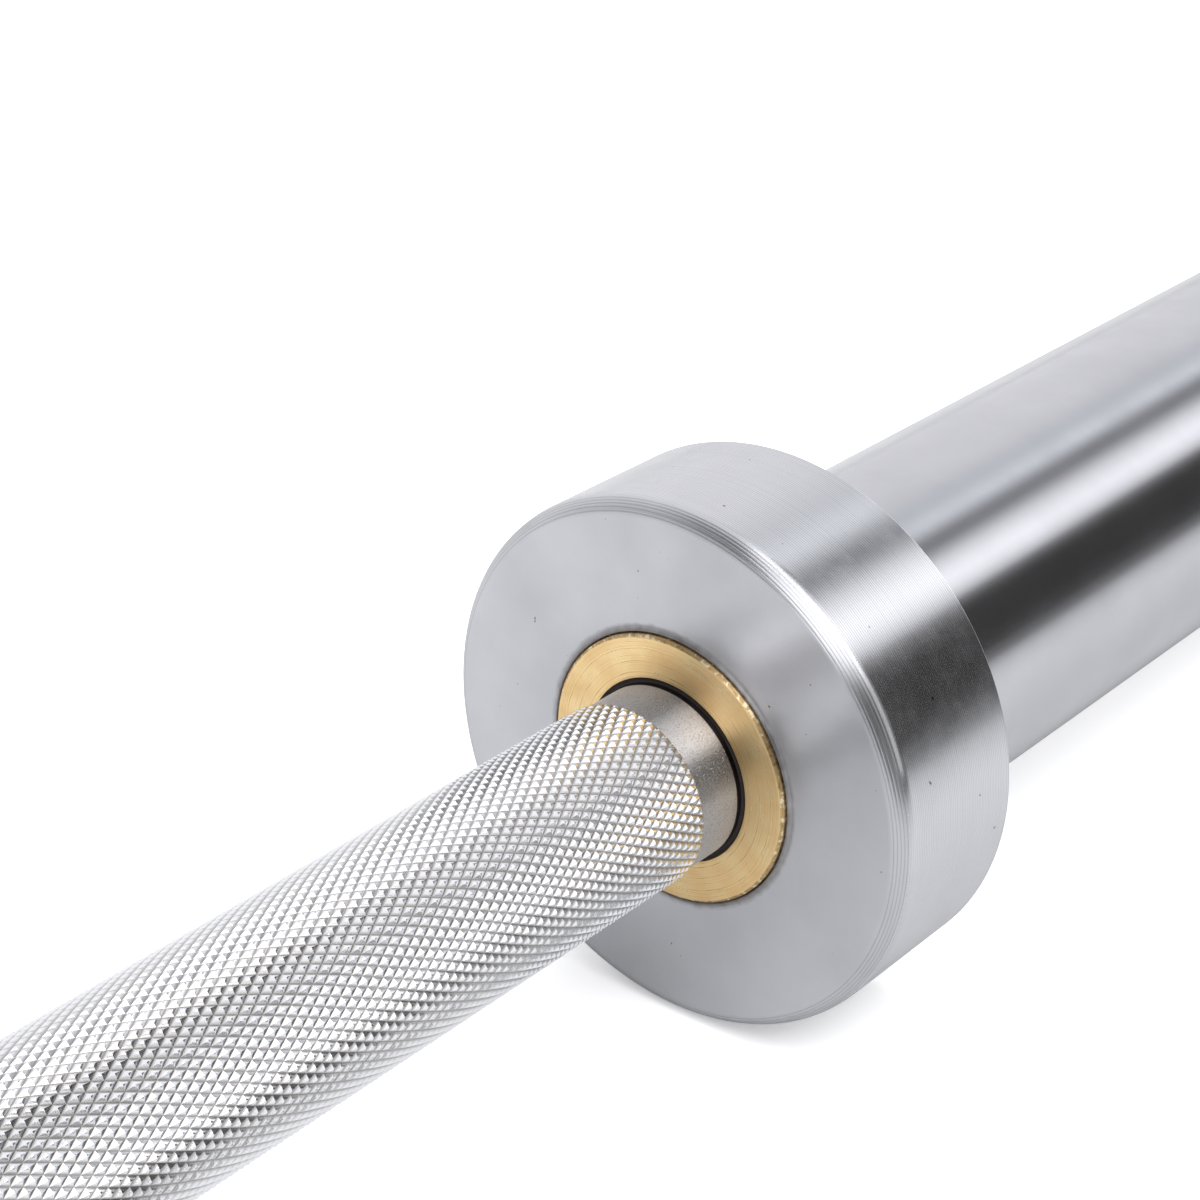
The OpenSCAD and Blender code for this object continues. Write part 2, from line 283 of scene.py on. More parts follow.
# Steel of the shaft's smooth parts: satin chrome with a fine peppered grain and sparse dents
# that glint, painted near black as shade where it runs past the seals' lips into the bush's mouth.
def shaftChrome():
    look = {
        "clean": (0.60, 0.60, 0.61),
        "speck": (0.28, 0.25, 0.23),
        "mouthShade": (0.03, 0.024, 0.022),
        "mouthShadeFrom": (0.65433, 0.65445), "mouthShadeTo": (0.6592, 0.6584),  # along the bar
        "roughness": (0.36, 0.44), "gloss": 1.0,
        "grainScale": 5200, "grainHeight": 0.000006, "dentScale": 4300, "dentHeight": 0.00002,
    }
    f = Finish("shaft_chrome", look["clean"], metallic=1.0, roughness=0.4)
    f.turned(look["gloss"])
    grain = f.noise(look["grainScale"], detail=2, rough=0.8)
    tone = f.blend(f.spread(grain, 0.56, 0.66), look["clean"], look["speck"])
    away = f.math("ABSOLUTE", f.along)
    # Painted shade: near black on the shaft where it runs into the seal and the bush's mouth.
    begun, ended = f.spread(away, *look["mouthShadeFrom"]), f.spread(away, *look["mouthShadeTo"])
    f.set("Base Color", f.blend(f.math("MULTIPLY", begun, ended), tone, look["mouthShade"]))
    f.set("Roughness", f.spread(grain, 0.3, 0.7, *look["roughness"]))
    dents = f.spread(f.noise(look["dentScale"], detail=1), 0.6, 0.7)
    grained = f.bump(grain, look["grainHeight"])
    f.set("Normal", f.bump(dents, look["dentHeight"], grained))
    return f.material


# Knurled steel: bright on the points, darker, warmer and duller down in the grooves, where grime
# and painted shade both darken the tone.
def knurlChrome():
    look = {
        "point": (0.95, 0.955, 0.975),
        "groove": (0.48, 0.46, 0.44),
        "low": 0.01233, "high": 0.01250,  # radii over which the groove's tone becomes the point's
        "roughness": (0.3, 0.18),
        "grainScale": 6000, "grainHeight": 0.000008,
    }
    f = Finish("knurl_chrome", look["point"], metallic=1.0, roughness=0.25)
    # Painted shade, with grime: the tone darkens from the points down into the grooves.
    depth = f.spread(f.radius, look["low"], look["high"])
    f.set("Base Color", f.blend(depth, look["groove"], look["point"]))
    f.set("Roughness", f.spread(depth, 0.0, 1.0, *look["roughness"]))
    f.set("Normal", f.bump(f.noise(look["grainScale"], detail=2), look["grainHeight"]))
    return f.material


# Turned bronze: rings brushed round the axis and broken up, patches of deeper tone, and the outer
# edge painted a darker brown as shade beside the gap round the flange, worn bright in places and
# nicked dark in others.
def turnedBronze():
    look = {
        "light": (1.0, 0.76, 0.40),
        "deep": (0.90, 0.60, 0.27),
        "scratch": (0.42, 0.27, 0.12),
        "worn": (1.0, 0.86, 0.58),
        # The next colour is painted shade on the flange's outer bevel, beside the gap round it.
        "edge": (0.50, 0.34, 0.17),
        "roughness": (0.26, 0.4), "edgeRoughness": 0.12, "gloss": 0.85,
        "edgeFrom": 0.01855, "edgeTo": 0.01868,  # radii of the bevel round the flange
        "flangeEnd": 0.659, "flangeEndTo": 0.6592,  # where the flange ends along the bar
        "scratchShare": 0.7, "edgeShadeShare": 0.7,  # how strongly each tone shows where it is full
        "lineScale": 5200, "lineHeight": 0.000009, "patchScale": 240,
        "wander": 0.0002, "wanderScale": 300,  # how far a ring strays from its circle
        "scratchScale": 350, "wearScale": 1300,
    }
    f = Finish("turned_bronze", look["light"], metallic=1.0, roughness=0.3)
    f.turned(look["gloss"])
    wander = f.math("MULTIPLY", f.noise(look["wanderScale"], detail=2), look["wander"])
    rings = f.lines(f.math("ADD", f.radius, wander), look["lineScale"], detail=4)
    lines = f.lines(f.along, look["lineScale"], detail=3)
    patch = f.noise(look["patchScale"], detail=4)
    tone = f.blend(f.spread(f.math("ADD", rings, patch), 0.8, 1.25), look["light"], look["deep"])
    broken = f.spread(f.noise(look["scratchScale"], detail=3), 0.5, 0.65)
    scratch = f.math("MULTIPLY", f.spread(rings, 0.62, 0.72), broken)
    tone = f.blend(f.math("MULTIPLY", scratch, look["scratchShare"]), tone, look["scratch"])
    away = f.math("ABSOLUTE", f.along)
    onFlange = f.spread(away, look["flangeEnd"], look["flangeEndTo"], 1.0, 0.0)
    edge = f.math("MULTIPLY", f.spread(f.radius, look["edgeFrom"], look["edgeTo"]), onFlange)
    # Painted shade: the flange's outer bevel, beside the gap round it in the collar, is darkened
    # brown.
    tone = f.blend(f.math("MULTIPLY", edge, look["edgeShadeShare"]), tone, look["edge"])
    wear = f.noise(look["wearScale"], detail=3)
    tone = f.blend(f.math("MULTIPLY", edge, f.spread(wear, 0.54, 0.62)), tone, look["worn"])
    tone = f.blend(f.math("MULTIPLY", edge, f.spread(wear, 0.42, 0.32)), tone, look["scratch"])
    f.set("Base Color", tone)
    dull = f.spread(f.math("ADD", rings, patch), 0.7, 1.3, *look["roughness"])
    f.set("Roughness", f.math("ADD", dull, f.math("MULTIPLY", edge, look["edgeRoughness"])))
    f.set("Normal", f.bump(f.math("ADD", rings, lines), look["lineHeight"]))
    return f.material


# Black rubber of the dust seal.
def sealRubber():
    look = {
        "base": (0.026, 0.021, 0.019),
        "deep": (0.022, 0.017, 0.016),
        "dusty": (0.032, 0.025, 0.023),
        "specular": 0.2,
        "roughness": 0.75,
        "dustScale": 700, "grainScale": 3000, "grainHeight": 0.00001,
    }
    f = Finish("seal_rubber", look["base"], metallic=0.0, roughness=look["roughness"])
    f.shader.inputs["Specular IOR Level"].default_value = look["specular"]
    f.set("Base Color", f.blend(f.noise(look["dustScale"], detail=3), look["deep"], look["dusty"]))
    f.set("Normal", f.bump(f.noise(look["grainScale"], detail=2), look["grainHeight"]))
    return f.material


# Dark spring steel of the circlips: phosphate black, rubbed bright in places.
def springSteel():
    look = {
        "base": (0.12, 0.12, 0.13),
        "black": (0.10, 0.10, 0.11),
        "rubbed": (0.30, 0.30, 0.31),
        "roughness": (0.5, 0.35),
        "rubScale": 500, "grainScale": 3000, "grainHeight": 0.00001,
    }
    f = Finish("spring_steel", look["base"], metallic=0.8, roughness=0.45)
    rub = f.spread(f.noise(look["rubScale"], detail=4), 0.55, 0.75)
    f.set("Base Color", f.blend(rub, look["black"], look["rubbed"]))
    f.set("Roughness", f.spread(rub, 0.0, 1.0, *look["roughness"]))
    f.set("Normal", f.bump(f.noise(look["grainScale"], detail=2), look["grainHeight"]))
    return f.material


# Ground steel of the thrust washers: rings left by the grinding.
def groundSteel():
    look = {
        "base": (0.56, 0.56, 0.58),
        "dark": (0.52, 0.52, 0.54),
        "bright": (0.63, 0.63, 0.65),
        "roughness": (0.3, 0.42),
        "ringScale": 6000, "ringHeight": 0.000006,
    }
    f = Finish("ground_steel", look["base"], metallic=1.0, roughness=0.35)
    rings = f.lines(f.radius, look["ringScale"], detail=3)
    f.set("Base Color", f.blend(rings, look["dark"], look["bright"]))
    f.set("Roughness", f.spread(rings, 0.3, 0.7, *look["roughness"]))
    f.set("Normal", f.bump(rings, look["ringHeight"]))
    return f.material


finishes = {
    "collar": satinChrome(),
    "sleeve": brightChrome(),
    "shaft": shaftChrome(),
    "knurl": knurlChrome(),
    "bronze": turnedBronze(),
    "rubber": sealRubber(),
    "spring": springSteel(),
    "ground": groundSteel(),
}
print("finishes made:", len(finishes))


# Puts points (n, 3) in millimetres, and faces of three or four corners, into a new object.
def meshPiece(name, points, faceLists, finish, normals=None):
    mesh = bpy.data.meshes.new(name)
    sizes = np.concatenate([np.full(len(f), f.shape[1]) for f in faceLists])
    corners = np.concatenate([f.ravel() for f in faceLists]).astype(np.int32)
    mesh.vertices.add(len(points))
    mesh.vertices.foreach_set("co", (points / 1000).astype(np.float32).ravel())
    mesh.loops.add(len(corners))
    mesh.loops.foreach_set("vertex_index", corners)
    mesh.polygons.add(len(sizes))
    starts = np.concatenate([[0], np.cumsum(sizes)[:-1]])
    mesh.polygons.foreach_set("loop_start", starts.astype(np.int32))
    mesh.update(calc_edges=True)
    mesh.polygons.foreach_set("use_smooth", np.full(len(sizes), normals is not None))
    if normals is not None:
        mesh.normals_split_custom_set_from_vertices(normals.astype(np.float32))
    mesh.materials.append(finish)
    piece = bpy.data.objects.new(name, mesh)
    scene.collection.objects.link(piece)
    return piece


# Rounds the corners of a profile, whose rows are (distance along, radius, reach): each corner B
# becomes the curve (1-t)^2 A + 2t(1-t) B + t^2 C, where A and C are reach away from B along its
# two sides. A corner with no reach stays as it is.
def softened(profile, steps=6):
    table = np.array(profile, float)
    corner, reach = table[:, :2], table[:, 2:3]
    before = np.roll(corner, 1, 0) - corner
    after = np.roll(corner, -1, 0) - corner
    a = corner + before / np.linalg.norm(before, axis=1, keepdims=True) * reach
    c = corner + after / np.linalg.norm(after, axis=1, keepdims=True) * reach
    t = np.linspace(0, 1, steps)[None, :, None]
    curve = (1 - t) ** 2 * a[:, None] + 2 * t * (1 - t) * corner[:, None] + t ** 2 * c[:, None]
    return curve[(reach > 0) | (np.arange(steps) == 0)]


# A turned piece: the profile (distance along, radius) goes once round the X axis, so a point is
# (x, r cos a, r sin a). Normals are those of the profile's sides, by their lengths. A profile
# whose two ends lie on the axis is closed there by a fan; any other is a ring.
def turnedPiece(name, profile, side, finish, segments=256):
    x = side * (profile[:, 0] + collarFace)
    r = profile[:, 1]
    if np.sum(x * np.roll(r, -1) - np.roll(x, -1) * r) > 0:
        x, r = x[::-1], r[::-1]
    dx, dr = np.roll(x, -1) - x, np.roll(r, -1) - r
    nx, nr = -dr, dx
    nx, nr = nx + np.roll(nx, 1), nr + np.roll(nr, 1)
    nr = np.where(r == 0, 0, nr)
    size = np.hypot(nx, nr) + 1e-12
    angle = np.arange(segments) * 2 * np.pi / segments
    ring = np.stack([np.zeros(segments), np.cos(angle), np.sin(angle)], 1)
    along = np.array([1.0, 0.0, 0.0])
    points = x[:, None, None] * along + r[:, None, None] * ring
    normals = (nx / size)[:, None, None] * along + (nr / size)[:, None, None] * ring
    rows = len(x)
    number = np.arange(rows * segments).reshape(rows, segments)
    column = np.arange(segments)
    nextColumn = (column + 1) % segments
    if r[0] > 0:
        here, after = number, np.roll(number, -1, 0)
        faces = np.stack([here, here[:, nextColumn], after[:, nextColumn], after], -1)
        return meshPiece(name, points.reshape(-1, 3), [faces.reshape(-1, 4)], finish,
                         normals.reshape(-1, 3))
    number = number[1:-1] - segments
    first, last = number[-1, -1] + 1, number[-1, -1] + 2
    here, after = number[:-1], number[1:]
    tip, tail = np.full(segments, first), np.full(segments, last)
    faces = [
        np.stack([here, here[:, nextColumn], after[:, nextColumn], after], -1).reshape(-1, 4),
        np.stack([tip, number[0, nextColumn], number[0]], -1),
        np.stack([number[-1], number[-1, nextColumn], tail], -1),
    ]
    points = np.concatenate([points[1:-1].reshape(-1, 3), points[:1, 0], points[-1:, 0]])
    normals = np.concatenate([normals[1:-1].reshape(-1, 3), normals[:1, 0], normals[-1:, 0]])
    return meshPiece(name, points, faces, finish, normals)


# The collar's profile. Turned lines lie across the bevel: with q the distance up the bevel from
# its inner corner, the surface sinks there by depth times sin^4 of pi (q - from) / pitch.
def collarProfile():
    c = collar
    flat = c["radius"] - c["bevel"]
    edge = softened([
        (0.0, c["seat"] + c["plain"], 0.0),
        (0.0, flat, c["inward"]),
        (c["bevel"], c["radius"], c["outward"]),
        (c["width"] / 2, c["radius"], 0.0),
    ], steps=44)
    q = (edge[:, 0] + edge[:, 1] - flat) / math.sqrt(2)
    count = (q - c["grooveFrom"]) / c["groovePitch"]
    sink = np.where((count > 0) & (count < c["grooves"]), np.sin(np.pi * count) ** 4, 0.0)
    edge = edge + (c["grooveDepth"] * sink)[:, None] * np.array([1, -1]) / math.sqrt(2)
    back = softened([
        (c["width"] - c["backBevel"], c["radius"], 0.05),
        (c["width"], c["radius"] - c["backBevel"], 0.05),
        (c["width"], c["socket"] + c["socketBevel"], 0.1),
        (c["width"] - c["socketBevel"], c["socket"], 0.05),
        (c["socketFrom"], c["socket"], 0.05),
        (c["socketFrom"], c["bore"], 0.2),
        (c["seatDepth"], c["bore"], 0.1),
        (c["seatDepth"], c["seat"], 0.1),
        (0.0, c["seat"], c["lip"]),
    ])
    return np.concatenate([edge, back])


profile = collarProfile()
for side, word in ((1, "right"), (-1, "left")):
    piece = turnedPiece(word + "_collar_body", profile, side, finishes["collar"], segments=320)
    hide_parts(word + "_collar")
    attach(piece, word + "_sleeve")
print("collars made")

sleeve = {
    "radius": 25.0, "end": 350.0, "bevel": 1.5, "bore": 16.0,
    "housing": 19.0, "housingFrom": 295.15,
    "ringFrom": 325.15, "ringTo": 326.95, "ringRadius": 20.0,
    "capFrom": 338.25, "capSeat": 21.0, "clipFrom": 345.25, "clipTo": 347.0, "clipRadius": 22.0,
}


# The sleeve's spigot fills the collar's socket.
def sleeveProfile():
    s, c = sleeve, collar
    return softened([
        (c["socketFrom"], c["socket"], 0.2),
        (c["width"], c["socket"], 0.05),
        (c["width"], s["radius"], 0.1),
        (s["end"] - s["bevel"], s["radius"], 0.5),
        (s["end"], s["radius"] - s["bevel"], 0.4),
        (s["end"], s["capSeat"], 0.3),
        (s["clipTo"], s["capSeat"], 0.1),
        (s["clipTo"], s["clipRadius"], 0.1),
        (s["clipFrom"], s["clipRadius"], 0.1),
        (s["clipFrom"], s["capSeat"], 0.1),
        (s["capFrom"], s["capSeat"], 0.1),
        (s["capFrom"], s["housing"], 0.1),
        (s["ringTo"], s["housing"], 0.1),
        (s["ringTo"], s["ringRadius"], 0.1),
        (s["ringFrom"], s["ringRadius"], 0.1),
        (s["ringFrom"], s["housing"], 0.1),
        (s["housingFrom"], s["housing"], 0.1),
        (s["housingFrom"], s["bore"], 0.1),
        (c["socketFrom"], s["bore"], 0.2),
    ])


for side, word in ((1, "right"), (-1, "left")):
    piece = turnedPiece(word + "_plate_sleeve", sleeveProfile(), side, finishes["sleeve"])
    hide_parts(word + "_sleeve_tube")
    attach(piece, word + "_sleeve")
print("sleeves made")

bush = {
    "flange": 19.0, "flangeThick": 4.0, "body": 16.0, "length": 40.0, "bore": 12.05,
    "mouth": 13.0, "mouthDepth": 3.5, "edge": 0.4,
}
seal = {"face": 0.1, "outer": 13.0, "inner": 12.3, "back": 3.5, "dip": 0.08}


def bushProfile():
    b = bush
    return softened([
        (0.0, b["mouth"], 0.12),
        (0.0, b["flange"] - b["edge"], 0.12),
        (b["edge"], b["flange"], 0.12),
        (b["flangeThick"], b["flange"], 0.2),
        (b["flangeThick"], b["body"], 0.2),
        (b["length"], b["body"], 0.5),
        (b["length"], b["bore"], 0.3),
        (b["mouthDepth"], b["bore"], 0.1),
        (b["mouthDepth"], b["mouth"], 0.1),
    ])


# The seal's face dips between its rim and its lip.
def sealProfile():
    s = seal
    return softened([
        (s["face"], s["outer"], 0.04),
        (s["back"], s["outer"], 0.08),
        (s["back"], s["inner"], 0.08),
        (s["face"], s["inner"], 0.04),
        (s["face"] + s["dip"], (s["inner"] + s["outer"]) / 2, 0.12),
    ])


for side, word in ((1, "right"), (-1, "left")):
    piece = turnedPiece(word + "_flanged_bush", bushProfile(), side, finishes["bronze"])
    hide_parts(word + "_inner_bush")
    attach(piece, word + "_sleeve")
    piece = turnedPiece(word + "_seal_ring", sealProfile(), side, finishes["rubber"])
    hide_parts(word + "_dust_seal")
    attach(piece, word + "_sleeve")
print("bushes and seals made")

cap = {
    "from": 338.25, "to": 345.25, "radius": 21.0, "dish": 16.4, "dishDepth": 1.5,
    "rings": 6, "ringDepth": 0.06,  # the lathe's rings on the dish's floor
    "flat": 0.6, "floorRows": 90,  # the floor's plain outer edge, and its rows of points
}


# The cap's profile, from the axis out and back. The dish's floor also rises and sinks by
# ringDepth times the sine of the ring's turn.
def capProfile():
    c = cap
    floorRadius = np.linspace(0.0, c["dish"] - c["dishDepth"] - c["flat"], c["floorRows"])
    turn = 2 * np.pi * c["rings"] * floorRadius / floorRadius[-1]
    level = c["to"] - c["dishDepth"] + c["ringDepth"] * (np.sin(turn) - 1)
    floor = np.stack([level, floorRadius], 1)
    rest = softened([
        (c["to"] - c["dishDepth"], c["dish"] - c["dishDepth"], 0.3),
        (c["to"], c["dish"], 0.2),
        (c["to"], c["radius"], 0.3),
        (c["from"], c["radius"], 0.3),
        (c["from"], 0.0, 0.0),
    ])
    return np.concatenate([floor, rest])


for side, word in ((1, "right"), (-1, "left")):
    piece = turnedPiece(word + "_dished_cap", capProfile(), side, finishes["collar"], segments=192)
    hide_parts(word + "_end_cap")
    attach(piece, word + "_sleeve")
print("end caps made")

shaft = {
    "middle": 12.5, "neck": 12.25, "journal": 12.0, "clipSeat": 11.0,
    "underKnurl": 12.15,  # the bar's surface below the knurled bands
    "neckFrom": -7.5, "neckTo": 3.0, "markFrom": -200.0, "markTo": -195.0, "knurlReach": -420.0,
    "clips": (291.05, 327.75), "clipWidth": 1.5, "end": 334.25, "bevel": 1.5, "centre": 3.0,
}


# Half of the shaft's outline, from its middle out to the lathe centre in its end.
def halfShaft():
    s = shaft
    return np.array([
        (-collarFace, s["middle"], 0.1),
        (s["knurlReach"], s["middle"], 0.1),
        (s["knurlReach"], s["underKnurl"], 0.1),
        (s["markFrom"], s["underKnurl"], 0.02),
        (s["markFrom"], s["neck"], 0.02),
        (s["markTo"], s["neck"], 0.02),
        (s["markTo"], s["underKnurl"], 0.02),
        (s["neckFrom"], s["underKnurl"], 0.02),
        (s["neckFrom"], s["neck"], 0.02),
        (s["neckTo"], s["neck"], 0.1),
        (s["neckTo"], s["journal"], 0.1),
        (s["clips"][0], s["journal"], 0.1),
        (s["clips"][0], s["clipSeat"], 0.1),
        (s["clips"][0] + s["clipWidth"], s["clipSeat"], 0.1),
        (s["clips"][0] + s["clipWidth"], s["journal"], 0.1),
        (s["clips"][1], s["journal"], 0.1),
        (s["clips"][1], s["clipSeat"], 0.1),
        (s["clips"][1] + s["clipWidth"], s["clipSeat"], 0.1),
        (s["clips"][1] + s["clipWidth"], s["journal"], 0.1),
        (s["end"] - s["bevel"], s["journal"], 0.3),
        (s["end"], s["journal"] - s["bevel"], 0.3),
        (s["end"], s["centre"], 0.2),
        (s["end"] - s["centre"], 0.0, 0.0),
    ])


# Both halves in one profile, from the bottom of one lathe centre to the bottom of the other.
def shaftProfile():
    right = halfShaft()
    left = right[::-1].copy()
    left[:, 0] = -2 * collarFace - left[:, 0]
    return softened(np.concatenate([left[:-1], right[1:]]), steps=4)


piece = turnedPiece("shaft_body", shaftProfile(), 1, finishes["shaft"])
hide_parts("shaft")
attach(piece, "shaft")
print("shaft made")

knurl = {
    "starts": 56, "cell": 2.472,  # grooves of each hand round the bar, and their spacing along it
    "crest": 12.70, "valley": 12.32, "under": 11.9,
    "root": 0.05, "flat": 0.92,  # the height's shares below and above which it is cut off flat
    "uneven": 0.03,  # share of the height that varies from point to point
    "fade": 0.9,  # the points rise over this length at the smooth middle
    "sunk": 0.02,  # how far below the neck's surface the cut at a neck starts
}


# Radius of the knurled surface. p and q count the grooves of each hand: p = x / cell + starts x
# turn, q = x / cell - starts x turn. A point's height is the lesser of its distances from the
# nearest two grooves, cut off flat at the top and the bottom. The dice is what a large multiple
# of a sine of p and q leaves above its whole number, and lowers each point a little differently.
def knurlRadius(x, turn):
    k = knurl
    p = x / k["cell"] + k["starts"] * turn
    q = x / k["cell"] - k["starts"] * turn
    height = 2 * np.minimum(np.abs(p - np.round(p)), np.abs(q - np.round(q)))
    height = np.clip((height - k["root"]) / (k["flat"] - k["root"]), 0, 1)
    dice = np.sin(np.floor(p) * 12.9898 + np.floor(q) * 78.233) * 43758.5453
    height = height * (1 - k["uneven"] * (dice - np.floor(dice)))
    return k["valley"] + (k["crest"] - k["valley"]) * height


# One length of knurling, a closed tube. Its rows and columns fall on the grooves' crossings and
# the points, with cuts steps between them, and each face is split along its groove. At a neck
# the points are cut by a cone at 45 degrees. At the smooth middle they fade out by t^2 (3 - 2t),
# with t the distance from the band's end over fade.
def knurlPiece(name, side, fromU, toU, cuts, neckEnds, fadeEnd):
    k, s = knurl, shaft
    step = k["cell"] / 2 / cuts
    inner = np.arange(math.floor(fromU / step) + 1, math.ceil(toU / step)) * step
    u = np.concatenate([[fromU], inner, [toU]])
    columns = 2 * k["starts"] * cuts
    turn = np.arange(columns) / columns
    r = knurlRadius(u[:, None], turn[None])
    for end in neckEnds:
        r = np.minimum(r, s["neck"] - k["sunk"] + np.abs(u - end)[:, None])
    if fadeEnd is not None:
        t = np.clip(np.abs(u - fadeEnd)[:, None] / k["fade"], 0, 1)
        r = s["middle"] + (r - s["middle"]) * t * t * (3 - 2 * t)
    u = np.concatenate([[u[0]], u, [u[-1]]])
    r = np.concatenate([np.full((1, columns), k["under"]), r, np.full((1, columns), k["under"])])
    x = side * (u + collarFace)
    if side < 0:
        u, x, r = u[::-1], x[::-1], r[::-1]
    angle = 2 * np.pi * turn
    points = np.stack([np.repeat(x[:, None], columns, 1), r * np.cos(angle), r * np.sin(angle)], -1)
    rows = len(u)
    row = np.arange(rows)[:, None] * columns
    nextRow = (np.arange(rows)[:, None] + 1) % rows * columns
    column = np.arange(columns)[None]
    nextColumn = (column + 1) % columns
    a, b = row + column, row + nextColumn
    c, d = nextRow + nextColumn, nextRow + column
    middle = (u + np.roll(u, -1)) / 2
    parity = (np.floor(2 * middle / k["cell"])[:, None] + np.floor(column / cuts)).astype(int)
    alongGroove = (parity % 2 == 0) if side > 0 else (parity % 2 == 1)
    alongGroove = alongGroove[..., None]
    first = np.where(alongGroove, np.stack([a, b, c], -1), np.stack([a, b, d], -1))
    second = np.where(alongGroove, np.stack([a, c, d], -1), np.stack([b, c, d], -1))
    triangles = np.concatenate([first.reshape(-1, 3), second.reshape(-1, 3)])
    piece = meshPiece(name, points.reshape(-1, 3), [triangles], finishes["knurl"])
    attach(piece, "shaft")


# Each band in lengths short enough to stay light, the finest next to the right collar: side,
# from, to, cuts, the ends that lie at a neck, and the end that fades out.
neck, markTo, markFrom = shaft["neckFrom"], shaft["markTo"], shaft["markFrom"]
reach = shaft["knurlReach"]
knurlLengths = [
    (1, -66.0, neck, 4, (neck,), None),
    (1, -130.0, -66.0, 3, (), None),
    (1, markTo, -130.0, 3, (markTo,), None),
    (1, -310.0, markFrom, 2, (markFrom,), None),
    (1, reach, -310.0, 2, (), reach),
    (-1, -100.0, neck, 2, (neck,), None),
    (-1, markTo, -100.0, 2, (markTo,), None),
    (-1, -310.0, markFrom, 2, (markFrom,), None),
    (-1, reach, -310.0, 2, (), reach),
]
for count, (side, fromU, toU, cuts, neckEnds, fadeEnd) in enumerate(knurlLengths):
    knurlPiece("knurling_%d" % (count + 1), side, fromU, toU, cuts, neckEnds, fadeEnd)
print("knurling made:", len(knurlLengths), "lengths")

# The pieces inside keep their solids and only take a finish.
insideFinish = {
    "outer_bush": "bronze", "bush_spring_ring": "spring",
    "inner_thrust_washer": "ground", "outer_thrust_washer": "ground",
    "inner_shaft_circlip": "spring", "outer_shaft_circlip": "spring",
    "cap_circlip": "spring",
}
for word in ("right", "left"):
    for name, key in insideFinish.items():
        node = cadNodes[word + "_" + name]
        node.data.materials.clear()
        node.data.materials.append(finishes[key])
print("inner pieces dressed")

floor = {
    "height": -0.0375, "size": 40.0, "roughness": 0.9, "specular": 0.1,
    "seen": (0.93, 0.93, 0.935),  # its colour to the camera
    "mirrored": (0.525, 0.528, 0.535),  # and in the chrome, where it darkens towards the -Y side
    "darkFrom": -0.11, "darkTo": -0.42, "darkShare": 0.18,
    "lift": 0.3,  # a little light of its own, to the camera only, that softens the shadows
}
mesh = bpy.data.meshes.new("studio_floor")
half, level = floor["size"] / 2, floor["height"]
corners = [(-half, -half, level), (half, -half, level), (half, half, level), (-half, half, level)]
mesh.from_pydata(corners, [], [(0, 1, 2, 3)])
ground = bpy.data.objects.new("studio_floor", mesh)
scene.collection.objects.link(ground)
paper = Finish("paper", floor["seen"], metallic=0.0, roughness=floor["roughness"])
paper.shader.inputs["Specular IOR Level"].default_value = floor["specular"]
across = paper.node("ShaderNodeSeparateXYZ")
paper.link(paper.coords, across.inputs[0])
# Painted shade: to glossy rays the floor shows the darker mirrored colour, and painted shade
# deepens it towards the -Y side.
lit = paper.spread(across.outputs["Y"], floor["darkTo"], floor["darkFrom"], floor["darkShare"], 1.0)
rays = paper.node("ShaderNodeLightPath")
mirrored = paper.blend(lit, (0.0, 0.0, 0.0), floor["mirrored"])
paper.set("Base Color", paper.blend(rays.outputs["Is Glossy Ray"], floor["seen"], mirrored))
paper.shader.inputs["Emission Color"].default_value = (1.0, 1.0, 1.0, 1.0)
paper.set("Emission Strength", paper.math("MULTIPLY", rays.outputs["Is Camera Ray"], floor["lift"]))
mesh.materials.append(paper.material)

# The room round the bar: its brightness goes by the height above level on the -Y side, over
# the top and down the +Y side. One strip of light runs along the bar. Each stop gives the
# degrees, the brightness and the tint.
rampStops = [
    (0.0, 0.07, "warm"), (12.0, 0.05, "warm"), (28.0, 0.055, "warm"), (33.0, 0.09, "warm"),
    (37.5, 0.25, "cool"), (42.0, 0.82, "cool"), (47.0, 1.22, "cool"), (53.0, 1.42, "cool"),
    (59.0, 1.28, "cool"), (66.0, 0.95, "cool"), (71.0, 0.58, "cool"), (76.0, 0.29, "blue"),
    (81.5, 0.29, "blue"), (86.0, 0.6, "blue"), (91.0, 0.98, "blue"), (96.0, 0.92, "blue"),
    (103.0, 0.74, "blue"), (109.0, 0.77, "blue"), (116.0, 0.86, "cool"), (130.0, 0.92, "cool"),
    (180.0, 0.93, "cool"),
]
tints = {"warm": (1.03, 0.99, 0.98), "cool": (0.99, 0.99, 1.025), "blue": (0.97, 0.995, 1.045)}
# The rest goes by a ray's share along X. Towards -X, which the shaft's neck sees in the collar's
# face, the strip is wider and the room above it darker. A lamp lights the necks from the side,
# and a wide soft light fills the knurling's dark parts.
farStops = [
    (0.0, 0.05, "warm"), (28.0, 0.05, "warm"), (35.0, 0.4, "cool"), (41.0, 1.6, "cool"),
    (50.0, 1.95, "cool"), (84.0, 1.95, "cool"), (90.0, 1.3, "cool"), (98.0, 0.2, "cool"),
    (104.0, 0.05, "blue"), (124.0, 0.05, "blue"), (134.0, 0.5, "cool"), (180.0, 0.58, "cool"),
]
farFrom, farTo = -0.25, -0.45
sideLamp = {
    "brightness": 3.2,
    "low": (28.0, 40.0), "high": (96.0, 86.0),  # degrees above level where it starts and is full
    "near": (-0.12, -0.04), "far": (0.16, 0.1),  # shares along X where it starts and is full
}
sideLight = {"color": (0.95, 0.955, 0.97), "near": (-0.15, -0.05), "far": (0.42, 0.3)}
backdrop = (1.0, 1.0, 1.0)
world = bpy.data.worlds.new("studio")
scene.world = world
world.use_nodes = True
world.node_tree.nodes.clear()
room = Tree(world.node_tree)
apart = room.node("ShaderNodeSeparateXYZ")
room.link(room.node("ShaderNodeTexCoord").outputs["Generated"], apart.inputs[0])
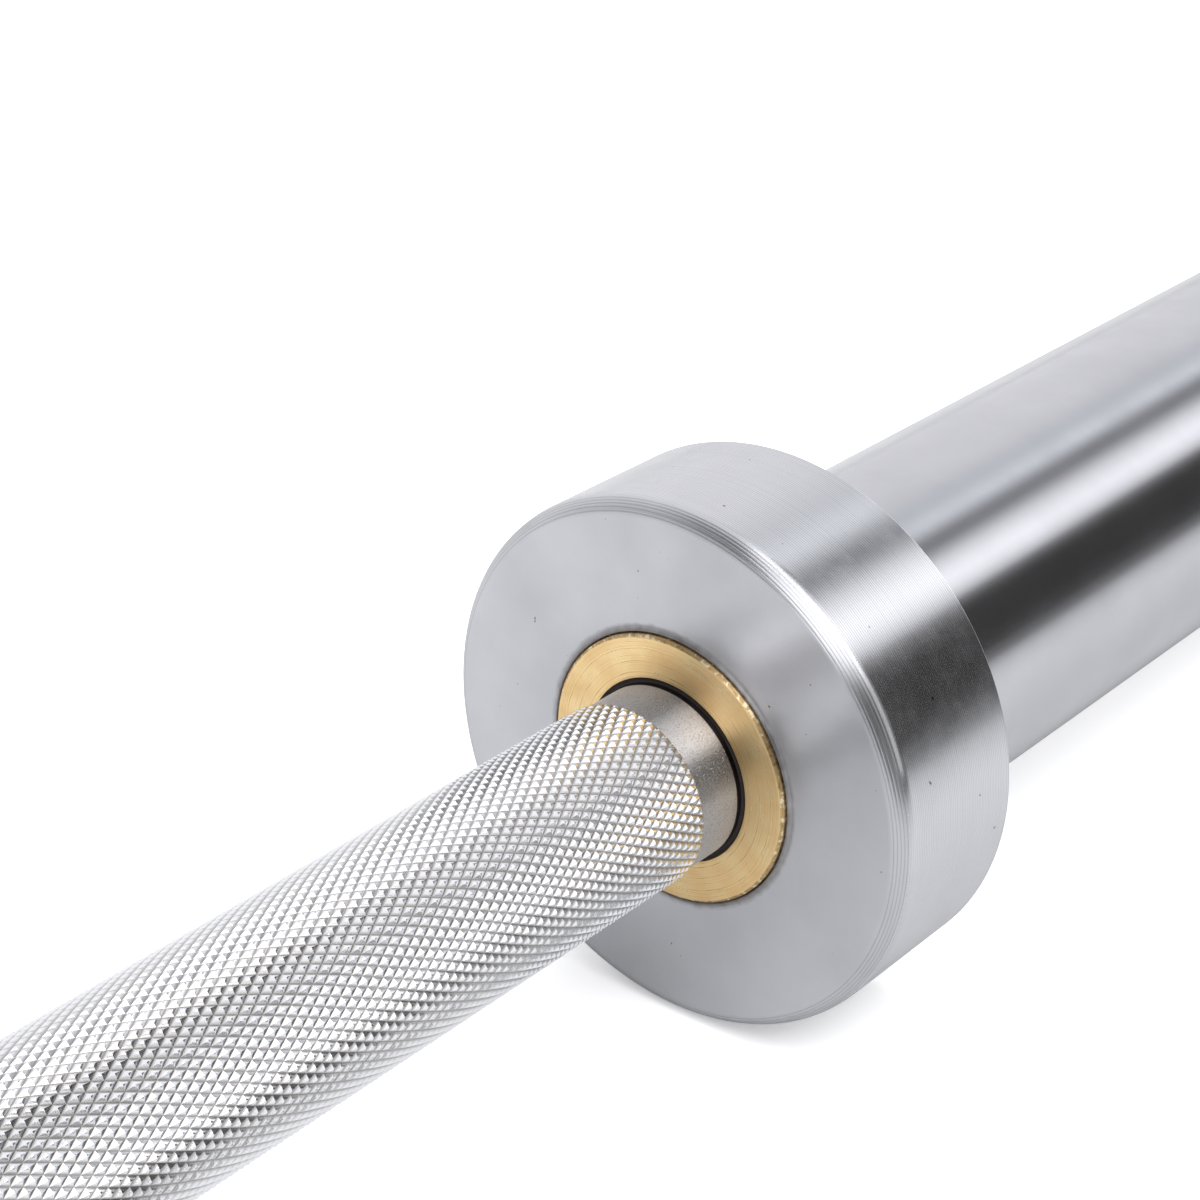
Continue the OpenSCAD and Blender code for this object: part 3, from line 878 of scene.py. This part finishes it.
share = apart.outputs["X"]
kind = room.node("ShaderNodeLightPath")
towards = room.math("MULTIPLY", apart.outputs["Y"], -1.0)
height = room.math("MULTIPLY", room.math("ARCTAN2", apart.outputs["Z"], towards), 180 / math.pi)
colors = []
for wanted in (rampStops, farStops):
    ramp = room.node("ShaderNodeValToRGB")
    room.put(room.math("DIVIDE", height, 180.0), ramp.inputs["Fac"])
    stops = ramp.color_ramp.elements
    while len(stops) < len(wanted):
        stops.new(0.5)
    for stop, (degrees, brightness, tint) in zip(stops, wanted):
        stop.position = degrees / 180.0
        stop.color = (*(brightness * part for part in tints[tint]), 1.0)
    colors.append(ramp.outputs["Color"])
light = room.blend(room.spread(share, farFrom, farTo), *colors)
glow = sideLamp["brightness"]
for part in (
    room.spread(height, *sideLamp["low"]), room.spread(height, *sideLamp["high"]),
    room.spread(share, *sideLamp["near"]), room.spread(share, *sideLamp["far"]),
):
    glow = room.math("MULTIPLY", part, glow)
light = room.blend(1.0, light, glow, "ADD")
nearSide, farSide = room.spread(share, *sideLight["near"]), room.spread(share, *sideLight["far"])
light = room.blend(room.math("MULTIPLY", nearSide, farSide), light, sideLight["color"], "LIGHTEN")
background = room.node("ShaderNodeBackground")
room.put(room.blend(kind.outputs["Is Camera Ray"], light, backdrop), background.inputs["Color"])
room.put(background.outputs[0], room.node("ShaderNodeOutputWorld").inputs[0])

# Two soft lamps: name, place, aim, width in metres and watts.
lights = [
    ("key", (0.2, -0.9, 1.9), (0.5, 0.0, 0.0), 1.6, 32.0),
    ("fill", (1.4, 1.8, 1.6), (0.5, 0.0, 0.0), 2.4, 35.0),
]
for name, place, aim, size, watts in lights:
    block = bpy.data.lights.new(name, "AREA")
    block.shape = "SQUARE"
    block.size = size
    block.energy = watts
    lamp = bpy.data.objects.new(name, block)
    lamp.location = place
    lamp.rotation_mode = "QUATERNION"
    lamp.rotation_quaternion = (Vector(aim) - Vector(place)).to_track_quat("-Z", "Y")
    lamp.visible_glossy = False
    scene.collection.objects.link(lamp)
scene.view_settings.view_transform = "Standard"
print("studio made")
